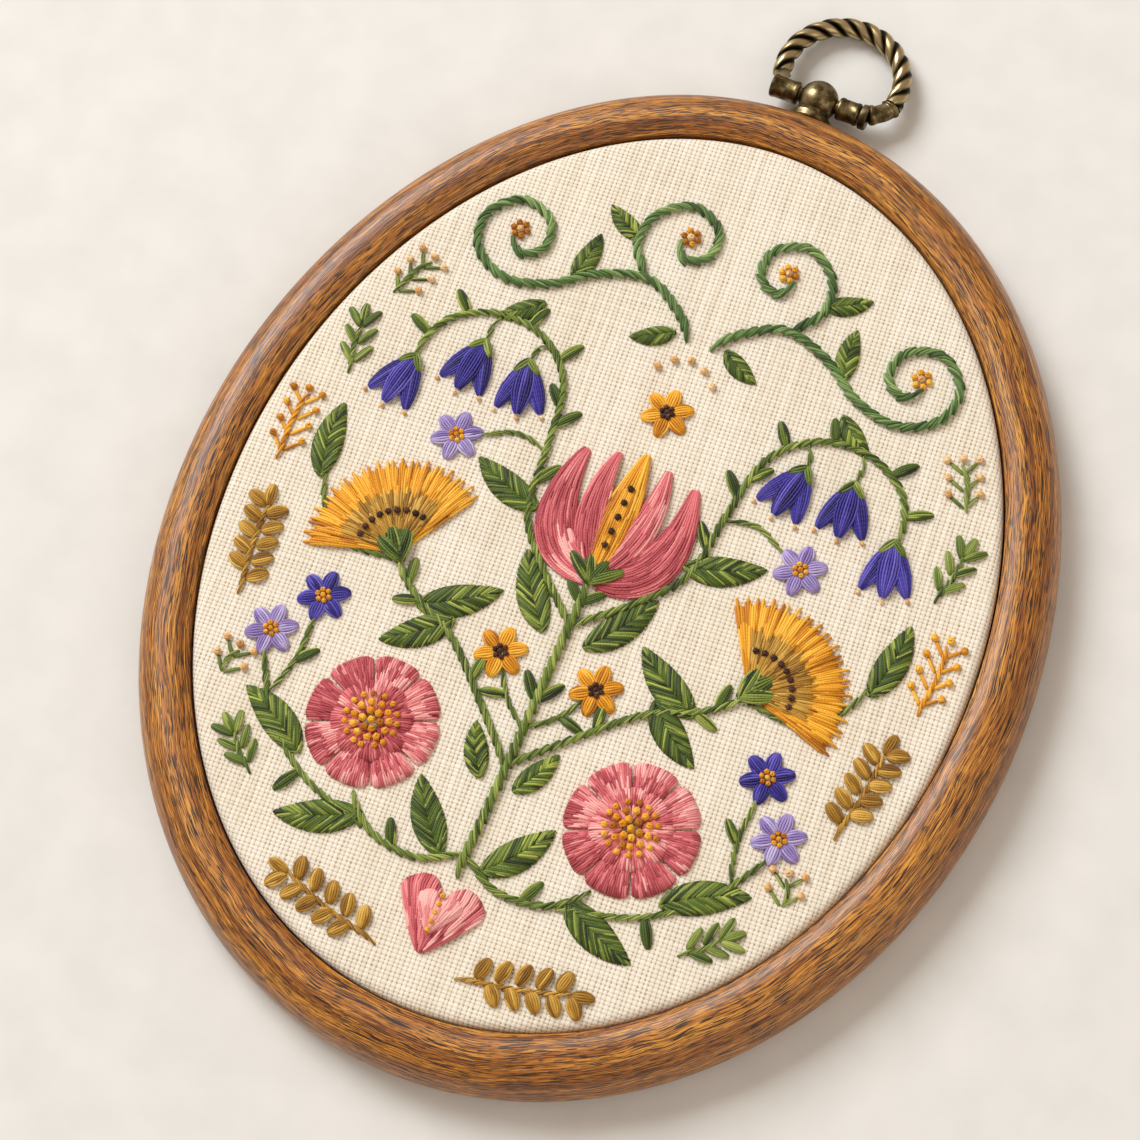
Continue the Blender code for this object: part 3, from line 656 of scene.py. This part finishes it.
def flowPetal(put, hue, base, middle, tip, halfWidth, rim, puff, rows, layer=0.0):
    # long-and-short stitches that follow a petal; rows are (from, to, jitter, tone), shares of its length
    for begin, finish, jitter, tone in rows:
        count = max(2, round(2 * halfWidth((begin + finish) / 2) / floss["petalSpacing"]))
        for k in range(count):
            u = (2 * k + 1) / count - 1 + either(0.4) / count
            end = rim(u)
            a = max(0.0, begin + either(jitter)) * end
            b = end if finish >= 1 else (finish + either(jitter)) * end
            lift = layer + either(floss["petalLift"]) + 0.12
            crown = puff * sqrt(1 - min(1.0, abs(u)) ** 2.6)

            def spot(t):
                s = a + (b - a) * t
                x, y, nx, ny = bendPoint(base, middle, tip, s)
                reach, share = u * halfWidth(s), min(1.0, s / end)
                rise = crown * min(1.0, 0.5 + share) * sqrt(1 - share ** 7)
                return x + nx * reach, y + ny * reach, rise + lift

            layStrand(put, hue, floss["petalDiameter"], tone, spot)


def leaf(put, hue, base, middle, tip, halfWidth):
    # fishbone stitch: strands run from the edge down to the rib, from each side in turn
    count = round(hypot(tip[0] - base[0], tip[1] - base[1]) / floss["leafSpacing"])
    for k in range(count + 6):
        for side in (1, -1):
            edgeShare = 1.0 - k / count * 0.88
            slant = floss["leafSlant"] * min(1.0, 0.45 + 0.9 * (1 - edgeShare))
            ribShare = max(0.0, edgeShare - slant - random.uniform(0, 0.03))
            edgeShare = min(1.0, max(0.03, edgeShare + either(0.01)))
            lift = either(floss["leafLift"]) + 0.1
            width = halfWidth * sin(pi * edgeShare ** 0.85) ** 0.75

            def spot(t):
                s, u = edgeShare + (ribShare - edgeShare) * t, side * (1 - t * 1.06)
                x, y, nx, ny = bendPoint(base, middle, tip, s)
                crown = floss["leafPuff"] * sqrt(max(0.0, 1 - abs(u) ** 2.2))
                rise = crown * (0.45 + 0.55 * sin(pi * s)) - 0.2 * max(0, 1 - abs(u) * 7)
                return x + nx * u * width, y + ny * u * width, rise + lift

            layStrand(put, hue, floss["leafDiameter"], 0.45 + 0.1 * side, spot)


def smoothPath(points, gap=0.5):  # an even line of points through the given ones
    line = []
    padded = [points[0]] + list(points) + [points[-1]]
    for a, b, c, d in zip(padded, padded[1:], padded[2:], padded[3:]):
        pieces = max(2, ceil(hypot(c[0] - b[0], c[1] - b[1]) / gap))
        for k in range(pieces):
            t = k / pieces
            line.append(tuple(0.5 * (2 * q + (r - p) * t + (2 * p - 5 * q + 4 * r - s) * t * t
                        + (3 * q - p - 3 * r + s) * t ** 3) for p, q, r, s in zip(a, b, c, d)))
    return line + [tuple(points[-1])]


def stemLine(hue, points, put, width, strandCount=3, stitch=floss["stemStitch"]):
    # stem stitch: each stitch is a twisted bundle that crosses the line and starts beside the last
    line = smoothPath(points)
    far = [0.0]
    for a, b in zip(line, line[1:]):
        far.append(far[-1] + hypot(b[0] - a[0], b[1] - a[1]))

    def placeAt(distance):
        distance = min(max(distance, 0.0), far[-1])
        k = next((n for n in range(1, len(far)) if far[n] >= distance), len(far) - 1)
        share = (distance - far[k - 1]) / max(1e-6, far[k] - far[k - 1])
        (ax, ay), (bx, by) = line[k - 1], line[k]
        size = hypot(bx - ax, by - ay) or 1.0
        return ax + (bx - ax) * share, ay + (by - ay) * share, (by - ay) / size, (ax - bx) / size

    steps = max(1, round((far[-1] - stitch) / stitch * 2) + 1)
    pace = (far[-1] - stitch) / max(1, steps - 1)
    bundle = floss["bundleShare"] * width
    fibre = bundle / (2.1 if strandCount == 3 else 2.35)  # radius of one strand, so they lie close together
    for number in range(steps):
        begin = max(0.0, number * pace)
        finish = min(far[-1], begin + stitch)
        spin, tone = random.uniform(0, 2 * pi), 0.5 + either(0.08)
        for k in range(strandCount):
            def spot(t):
                angle = spin + 2 * pi * (k / strandCount + floss["twist"] * t)
                reach = (bundle - fibre) * (0.55 + 0.45 * sin(pi * t))
                shift = (0.5 - t) * width * 0.62 + reach * cos(angle)
                x, y, nx, ny = placeAt(begin + (finish - begin) * t)
                rise = bundle * (0.9 + 0.5 * sin(pi * t)) + reach * sin(angle)
                return x + nx * shift, y + ny * shift, rise

            layStrand(put, hue, 2 * fibre, tone, spot, dip=1.6)


def lens(put, hue, base, tip, halfWidth, count=5, puff=0.8, tone=0.5, layer=0.0):
    # a detached chain or satin petal: a few strands lie side by side from base to tip
    size = hypot(tip[0] - base[0], tip[1] - base[1])
    nx, ny = (tip[1] - base[1]) / size, (base[0] - tip[0]) / size
    for k in range(count):
        u = (2 * k + 1) / count - 1

        def spot(t):
            reach = u * halfWidth * sin(pi * min(1.0, 0.06 + 0.9 * t)) ** 0.7
            rise = puff * sqrt(1 - 0.8 * u * u) * sin(pi * (0.08 + 0.84 * t)) ** 0.6
            x, y = base[0] + (tip[0] - base[0]) * t, base[1] + (tip[1] - base[1]) * t
            return x + nx * reach, y + ny * reach, rise + layer

        layStrand(put, hue, floss["lensDiameter"], tone, spot)


def knot(put, hue, x, y, radius, tone=0.5, layer=0.0):  # French knot: the thread wound round on itself
    points = []
    spin, steps = random.uniform(0, 2 * pi), 8
    for k in range(steps + 1):
        angle, share = spin + 3.2 * pi * k / steps, k / steps
        reach, rise = radius * (0.62 - 0.32 * share), radius * (0.25 + 0.75 * share)
        points.append((*put(x + reach * cos(angle), y + reach * sin(angle)), layer + rise))
    points.append((*put(x, y), layer + radius * 0.7))
    addStrand(hue, points, radius * 0.8, tone)


# The embroidery: a mirrored tree of folk flowers, with a pair of scrolls above it
# places are x and y on the right half; turns are degrees anticlockwise from upright; rows are as in flowPetal

rosette = {"petals": 8, "scallop": 0.12,
    "rings": [  # reach, hub, spread, puff, layer, rows
        (13.0, 4.4, 1.0, 1.0, 0.0, ((0.02, 0.44, 0.08, 0.38), (0.26, 0.68, 0.09, 0.48),
                (0.46, 0.86, 0.09, 0.58), (0.66, 1.0, 0.08, 0.70))),
        (8.0, 1.8, 1.03, 0.75, 0.6, ((0.02, 0.5, 0.08, 0.12), (0.30, 0.8, 0.10, 0.22),
                (0.52, 1.0, 0.10, 0.36)))],
    "knots": [  # count, reach, size, tone, layer
        (15, 5.1, 0.78, 0.7, 1.4), (11, 3.5, 0.95, 0.4, 1.15), (6, 1.8, 1.0, 0.6, 1.15),
        (1, 0, 1.0, 0.8, 1.15)]}
tulip = {"place": (0, 9), "foot": -12.5, "reach": 14.5,
    "outerRows": ((0.0, 0.32, 0.05, 0.3), (0.2, 0.5, 0.07, 0.4), (0.38, 0.68, 0.07, 0.5),
        (0.55, 0.84, 0.07, 0.6), (0.72, 1.0, 0.05, 0.72)),
    "innerRows": ((0.0, 0.36, 0.05, 0.08), (0.24, 0.6, 0.07, 0.16), (0.46, 0.8, 0.07, 0.26),
        (0.66, 1.0, 0.05, 0.38)),
    "middleRows": ((0.0, 0.34, 0.05, 0.25), (0.22, 0.56, 0.07, 0.4), (0.42, 0.76, 0.07, 0.55),
        (0.62, 1.0, 0.05, 0.75)),
    "sepals": ((-52, 1.3, 7.2), (52, 1.3, 7.2), (-19, 1.2, 5.6), (19, 1.2, 5.6))}  # turn, width, length
carnation = {"place": (41, -8, -38), "foot": -6.5,
    "tiers": [  # count, spread, reach, width, hue, tones, layer
        (9, 62, 19.5, 2.9, "gold", (0.35, 0.8), 0.0), (7, 50, 13.5, 2.3, "ochre", (0.3, 0.6), 0.45)],
    "sepals": ((-30, 1.7, 6.5), (30, 1.7, 6.5), (0, 2.2, 7.2))}
bell = {"length": 11.0, "petals": ((-24, 1.9, 0.0), (24, 1.9, 0.0), (0, 2.3, 0.5))}  # turn, width, layer
daisy = {"radius": 5.2, "petals": 6}
heart = {"place": (0, -74), "layers": ((1.0, 0.4, 0.0), (0.55, 0.8, 0.75))}  # size, tone, layer
layout = {
    "rosettes": [(27, -46)],
    "bells": [(28.5, 27, -12), (40, 27.5, 6), (52, 19.5, 10)],
    "daisies": [(10, -24, "gold"), (53, -37, "lilac"), (46.5, -27, "violet"), (36.5, 13, "lilac"),
        (0, 33, "gold")],
    "leaves": [  # x, y, half length, half width, turn, bend
        (9, -58, 8.0, 3.1, -38, 1.5), (9, -10, 8.5, 3.1, -34, 1.5), (22, -17, 8.5, 3.2, 58, -1.5),
        (27, -26, 7.5, 3.0, -128, 1.5), (45, -53, 8.5, 3.2, -62, -1.5), (29, -66, 8.5, 3.2, -112, 1.5),
        (23, 8, 8.0, 3.0, -70, 1.5), (59, 3, 8.0, 3.0, -8, 1.5), (6, -43, 5.5, 2.3, -28, 1.0),
        (28.5, 58, 5.5, 2.2, 8, -1.0), (36, 42.5, 5.0, 2.0, -128, 1.0), (9.5, 47.5, 4.5, 1.9, -118, 1.0),
        (24, 68, 4.8, 2.0, -62, 1.0)],
    "stems": [  # path, strands to a stitch, width
        ([(0, -67), (0.4, -52), (0, -20), (0, -5)], 4, 2.4),
        ([(0, -62), (8, -66.5), (18, -65.5), (25, -60)], 3, 1.9),
        ([(0, -44), (8, -36), (20, -25), (30, -20), (37, -14.5)], 3, 1.9),
        ([(0, -14), (10, -5), (17, 4), (19, 18), (21.5, 31), (29, 38.5), (39, 40), (47.5, 36), (51, 30),
          (51, 25.5)], 3, 1.9),
        ([(0, -36), (5, -32), (9, -26)], 3, 1.4),
        ([(20, -65), (34, -61), (45, -53), (51, -44), (53, -41)], 3, 1.6),
        ([(37.5, -14.8), (47, -15.5), (54, -10.5), (57.5, -4)], 3, 1.5),
        ([(48, -49), (46, -40), (46.5, -31)], 3, 1.4),
        ([(19, 17), (26, 18), (32.5, 14.5)], 3, 1.4),
        ([(27, 37.5), (29.2, 36), (29.6, 31.6)], 3, 1.3),
        ([(39, 39.8), (39.7, 36.5), (39.4, 32.0)], 3, 1.3)],
    "leaflets": [  # x, y, turn, length; each starts at the nearest point of a stem
        (1.6, -30, -38, 6.2), (1.4, -9, -48, 5.4), (13.5, -31.5, 4, 5.6), (32, -18.3, -8, 5.4),
        (29.5, -21.4, -108, 5.4), (13, -65.4, -26, 5.6), (22, -63.6, -146, 5.4), (36, -60.4, -150, 6.0),
        (18.8, 10, 34, 6.0), (19.2, 22, 40, 6.0), (20.6, 26, -42, 5.4), (24, 35.8, 34, 5.8),
        (32.5, 40, 22, 5.2), (45.5, 38, -46, 5.8), (51, 31, -64, 5.6), (45.8, -41, 42, 5.2),
        (6, -31.5, -104, 5.2)],
    "sprigs": [  # x, y, turn, hue, length, pairs, kind
        (8, -84, -76, "ochre", 22, 5, "round"), (62, -33, -9, "ochre", 19, 5, "round"),
        (44, -64, -50, "stemGreen", 9, 3, "leaves"), (67.3, -5, -3, "gold", 15, 4, "berries"),
        (58, -48, 8, "stemGreen", 5, 2, "berries"), (62, 17, -12, "stemGreen", 11, 3, "leaves"),
        (61, 36, 22, "stemGreen", 10, 3, "berries")],
    "berries": [(5.8, 41.5), (3.2, 44), (0, 45)],
    "scrolls": [
        [(2, 49), (7, 54), (15, 58), (25, 55), (33, 49.5), (42, 47.5), (49.5, 51.5), (51, 59), (45.5, 64.5),
         (38.5, 62.5), (37, 56.5), (41, 53.5), (44.8, 56)],
        [(15, 58), (20, 64), (19, 71.5), (12.5, 76), (6, 73), (5.5, 67), (10, 64.5), (13, 68)]],
    "scrollBuds": [(43.3, 58.4), (10.6, 69.5)], "scrollWidth": 2.4}


def addRosette(put):
    half = pi / rosette["petals"]
    for number, (reach, hub, spread, puff, layer, rows) in enumerate(rosette["rings"]):
        for k in range(rosette["petals"]):
            flowPetal(inside(put, 0, 0, 360 / rosette["petals"] * (k + 0.5 * number)), "pink",
                (0, hub), (0, (hub + reach) / 2), (0, reach),
                lambda s: spread * (hub + (reach - hub) * s) * half * 0.98,
                lambda u: 1 - rosette["scallop"] * (0.7 * u * u + 0.9 * u ** 6), puff, rows, layer)
    for count, reach, size, tone, layer in rosette["knots"]:
        for k in range(count):
            angle = 2 * pi * (k + either(0.15)) / count
            knot(put, "gold", reach * cos(angle), reach * sin(angle), size, tone, layer)


def roundWidth(width, start, share):  # half width of a petal that narrows at both ends
    return lambda s: width * sin(pi * min(1.0, start + share * s) ** 0.9) ** 0.8


def addSepals(put, hub, parts, foot, count):  # parts are turn, half width and length
    for angle, width, length in parts:
        lens(inside(put, 0, hub, -angle), "leafGreen", (0, foot), (0, length), width, count, 1.0, layer=0.7)


def addTulip(put):
    foot, reach, straight = tulip["foot"], tulip["reach"], lambda u: 1.0
    for side in (1, -1):
        half = lambda x, y: put(x * side, y)
        flowPetal(half, "pink", (0.5, foot), (15.5, foot + 2), (11.5, reach - 3), roundWidth(4.3, 0.10, 0.86),
            straight, 1.1, tulip["outerRows"])
        flowPetal(half, "pink", (0.4, foot + 1), (7.5, -2), (5.2, reach - 1.5), roundWidth(3.0, 0.12, 0.84),
            straight, 1.0, tulip["innerRows"], 0.25)
    flowPetal(put, "gold", (0, foot + 1), (0, 0), (0, reach), roundWidth(3.6, 0.10, 0.87), straight, 1.05,
        tulip["middleRows"], 0.4)
    for k in range(5):
        knot(put, "brown", 0, foot + 6.5 + 3.1 * k, 0.85, layer=1.5)
    addSepals(put, foot - 1.2, tulip["sepals"], -0.6, 5)


def addCarnation(put):
    foot = carnation["foot"]
    for count, spread, reach, width, hue, (low, high), layer in carnation["tiers"]:
        rows = ((0.0, 0.42, 0.06, low), (0.28, 0.74, 0.09, (low + high) / 2), (0.56, 1.0, 0.08, high))
        for k in range(count):
            angle = -spread + 2 * spread * k / (count - 1)
            flowPetal(inside(put, 0, foot, -angle), hue, (0, 2.5), (0, reach * 0.6), (0, reach),
                lambda s: 0.7 + (width - 0.7) * s,
                lambda u: 1 - 0.13 * abs(sin(4.2 * u)) - 0.05 * u * u, 0.95, rows, layer)
    for k in range(9):
        angle = radians(-52 + 13 * k)
        knot(put, "brown", 8.0 * sin(angle), foot + 8.0 * cos(angle), 0.85, layer=1.3)
    addSepals(put, foot - 1.5, carnation["sepals"], -1.0, 7)


def addBell(put):
    length = bell["length"]
    for angle, width, layer in bell["petals"]:
        lens(inside(put, 0, length / 2, angle), "violet", (0, 0), (0, -length), width, 8, 1.1, 0.45, layer)
    for k in (-1, 0, 1):
        knot(inside(put, 0, length / 2, 24 * k), "peach", 0, -length - 0.9, 0.6, 0.6)
    for angle in (-42, 42):
        lens(inside(put, 0, length / 2 + 0.4, angle), "stemGreen", (0, 0.5), (0, -3.6), 0.8, 3, layer=0.7)


def addDaisy(put, hue):
    for k in range(daisy["petals"]):
        petal = inside(put, 0, 0, 360 / daisy["petals"] * k)
        lens(petal, hue, (0, 0.7), (0, daisy["radius"]), 1.6, 6, 0.9, 0.55)
    for k in range(7):  # one knot in the middle and six round it
        reach = 1.15 if k else 0.0
        knot(put, "brown" if hue == "gold" else "gold", reach * cos(1.047 * k), reach * sin(1.047 * k), 0.68,
            0.6, layer=0.6 if k else 0.9)


def heartRim(u):  # how far up each ray from the heart's point reaches its edge
    peak = 0.385
    if abs(u) < peak:
        return 1.02 - 0.27 * (1 - abs(u) / peak) ** 2
    return 1.02 - 0.32 * ((abs(u) - peak) / (1 - peak)) ** 2


def addHeart(put):
    for size, tone, layer in heart["layers"]:
        flowPetal(lambda x, y: put(x * size, y * size), "pink", (0, -8.5), (0, -1.5), (0, 5.5),
            lambda s: 0.2 + 9.4 * min(1.0, 1.2 * s) ** 0.8, heartRim, 1.1,
            ((0.03, 0.45, 0.06, tone - 0.15), (0.28, 0.74, 0.08, tone), (0.55, 1.0, 0.06, tone + 0.12)),
            layer)
    for k in range(5):
        knot(put, "gold", 0, -4.2 + 1.7 * k, 0.7, 0.6, layer=1.7)


def addSprig(put, hue, length, pairs, kind):
    berryHue = "gold" if hue == "gold" else "peach"
    stemLine(hue, [(0, 0), (0.6, length * 0.5), (0, length)], put, 1.4, stitch=3.6)
    for k in range(pairs):
        along = length * (0.24 + 0.70 * k / max(1, pairs - 1))
        for side in (1, -1):
            if kind == "round":  # alternate round leaves
                foot, tone = along + 0.28 * side * length / pairs, 0.5 + 0.08 * side
                lens(put, hue, (0.4 * side, foot), (4.2 * side, foot + 1.9), 1.45, 6, 0.9, tone, 0.1)
            elif kind == "berries":  # a knot on a short stalk
                lens(put, hue, (0.2 * side, along - 1.5), (2.6 * side, along + 0.8), 0.25, 2, 0.35, 0.45)
                knot(put, berryHue, 3.1 * side, along + 1.3, 0.95)
            else:
                lens(put, hue, (0.3 * side, along), (3.2 * side, along + 3.6), 0.8, 4, 0.75, 0.5 + 0.1 * side)
    if kind == "berries":
        knot(put, berryHue, 0, length + 1.0, 1.0, 0.6)
    else:
        lens(put, hue, (0, length), (0, length + 4.2), 1.3 if kind == "round" else 0.9, 5, 0.85, 0.55)


def addScroll(put):
    for path in layout["scrolls"]:
        stemLine("scrollGreen", path, put, layout["scrollWidth"], 4, stitch=5.2)
    for x, y in layout["scrollBuds"]:
        for angle in range(0, 360, 60):
            knot(put, "gold", x + 1.5 * cos(radians(angle)), y + 1.5 * sin(radians(angle)), 0.85)
        knot(put, "peach", x, y, 0.95, 0.7, layer=0.2)


def flossMaterial(hue):
    # stranded cotton, six-ply and mercerised: a soft sheen along each strand, darker where strands meet
    material, shader, add = newMaterial("mercerised cotton floss " + hue)
    tone = add("Attribute", attribute_name="tone").outputs["Fac"]
    place = add("TexCoord").outputs["Object"]
    fibre = add("TexNoise", {"Vector": place, "Scale": 2600.0, "Detail": 2.0})
    mixed = add("Math", [fibre, 0.22, tone], "MULTIPLY_ADD")
    shifted = add("Math", [mixed, 0.11], "SUBTRACT")
    colour = add("ValToRGB", {"Fac": shifted}, stops=list(zip((0.1, 0.5, 0.92), flossColours[hue])))
    split = add("SeparateXYZ", [add("UVMap", uv_map="UVMap")])
    twist = add("Math", [split.outputs["X"], 9.0, split.outputs["Y"]], "MULTIPLY_ADD")
    turn = add("Math", [twist, 4 * pi], "MULTIPLY")
    ply = add("Math", [turn], "SINE")
    bump = add("Bump", {"Strength": 0.5, "Distance": 0.03 * mm, "Height": ply})
    setSockets(shader, {"Base Color": colour, "Normal": bump, "Roughness": 0.55, "Specular IOR Level": 0.4,
            "Sheen Weight": 0.08, "Sheen Roughness": 0.4})
    return material


def makeFloss():
    sides = 6  # round a strand, and each end's ring is there twice, for its cap
    for hue, kept in strands.items():
        curve = polyCurve(hue + "Floss", [points for points, diameter, tone in kept])
        for spline, (points, diameter, tone) in zip(curve.splines, kept):
            widths = [0.72 * diameter] + [diameter] * (len(points) - 2) + [0.72 * diameter]
            spline.points.foreach_set("radius", widths)
        curve.bevel_depth = 0.5
        curve.bevel_resolution = 1
        curve.use_fill_caps = True
        mesh = curveMesh(curve, weld=0)
        tones = [tone for points, diameter, tone in kept for k in range((len(points) + 2) * sides)]
        if len(tones) != len(mesh.vertices):
            raise ValueError(f"{hue}: {len(tones)} tones for {len(mesh.vertices)} points")
        mesh.attributes.new("tone", "FLOAT", "POINT").data.foreach_set("value", tones)
        addPiece(hue + "Floss", mesh, flossMaterial(hue), "linen", sharpAngle=70)
        print(hue, len(kept), "strands", sum(len(face.vertices) - 2 for face in mesh.polygons), "triangles")


def makeEmbroidery():
    stemSpots = [spot for path, count, width in layout["stems"] for spot in smoothPath(path)]
    for side in (1, -1):
        for path, count, width in layout["stems"]:
            if side == 1 or path[-1][0] > 1:
                stemLine("stemGreen", path, placer(0, 0, 0, side), width, count)
        for x, y, turn, length in layout["leaflets"]:
            x, y = min(stemSpots, key=lambda spot: hypot(spot[0] - x, spot[1] - y))
            lens(placer(x, y, turn, side), "leafGreen", (0, 0), (0, length), 0.19 * length)
        for x, y, far, halfWidth, turn, bend in layout["leaves"]:
            leaf(placer(x, y, turn, side), "leafGreen", (0, -far), (bend, 0), (0, far), halfWidth)
        for x, y in layout["rosettes"]:
            addRosette(placer(x, y, 0, side))
        addCarnation(placer(*carnation["place"], side))
        for x, y, turn in layout["bells"]:
            addBell(placer(x, y, turn, side))
        for x, y, hue in layout["daisies"]:
            if side == 1 or x > 1:
                addDaisy(placer(x, y, 0, side), hue)
        for x, y, turn, hue, length, pairs, kind in layout["sprigs"]:
            addSprig(placer(x, y, turn, side), hue, length, pairs, kind)
        for x, y in layout["berries"]:
            if side == 1 or x > 1:
                knot(placer(x, y, 0, side), "peach", 0, 0, 1.0)
        addScroll(placer(0, 0, 0, side))
    addTulip(placer(*tulip["place"]))
    addHeart(placer(*heart["place"]))
    makeFloss()
    print("embroidery done")


makeCamera()
makeStudio()
makeHoops()
makeLinen()
makeHanger()
makeEmbroidery()
